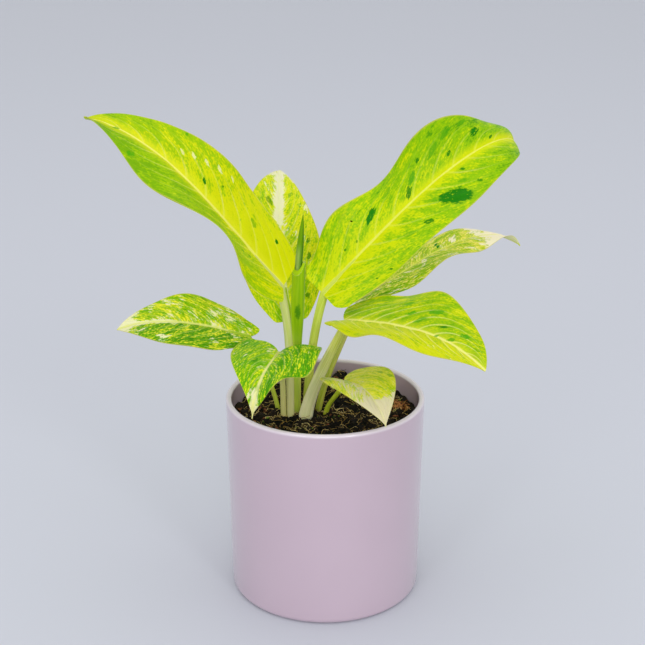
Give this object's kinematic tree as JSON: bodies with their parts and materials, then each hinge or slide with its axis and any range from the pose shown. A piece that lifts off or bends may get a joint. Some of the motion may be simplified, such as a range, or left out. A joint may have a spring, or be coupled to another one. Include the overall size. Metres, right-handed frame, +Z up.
{
  "type": "potted chinese evergreen",
  "caption": "Variegated Chinese evergreen with arching wavy leaves, a rolled new leaf and a short stem, standing in soil in a glazed cylindrical pot.",
  "frame": {"origin": "centre of the pot's flat foot, on the surface that it stands on", "axes": "+Z up along the pot's axis, +X to the right and -Y towards the viewer in the view that shows the two tall leaves at the left and the right"},
  "size_m": [0.2827, 0.2181, 0.3228],
  "materials": {
    "pot": "glossy lilac-pink glaze",
    "soil": "damp, crumbly and matte",
    "stem": "smooth and slightly waxy",
    "new_leaf": "smooth and slightly waxy",
    "leaf": "waxy, with a soft sheen"
  },
  "bodies": {
    "root": {"pot": "pot", "soil": "soil", "stem": "stem", "new_leaf": "new_leaf", "leaf_upper_left": "leaf", "leaf_upper_right": "leaf", "leaf_back": "leaf", "leaf_rear_right": "leaf", "leaf_right": "leaf", "leaf_left": "leaf", "leaf_front_left": "leaf", "leaf_front_right": "leaf"}
  },
  "joints": []
}
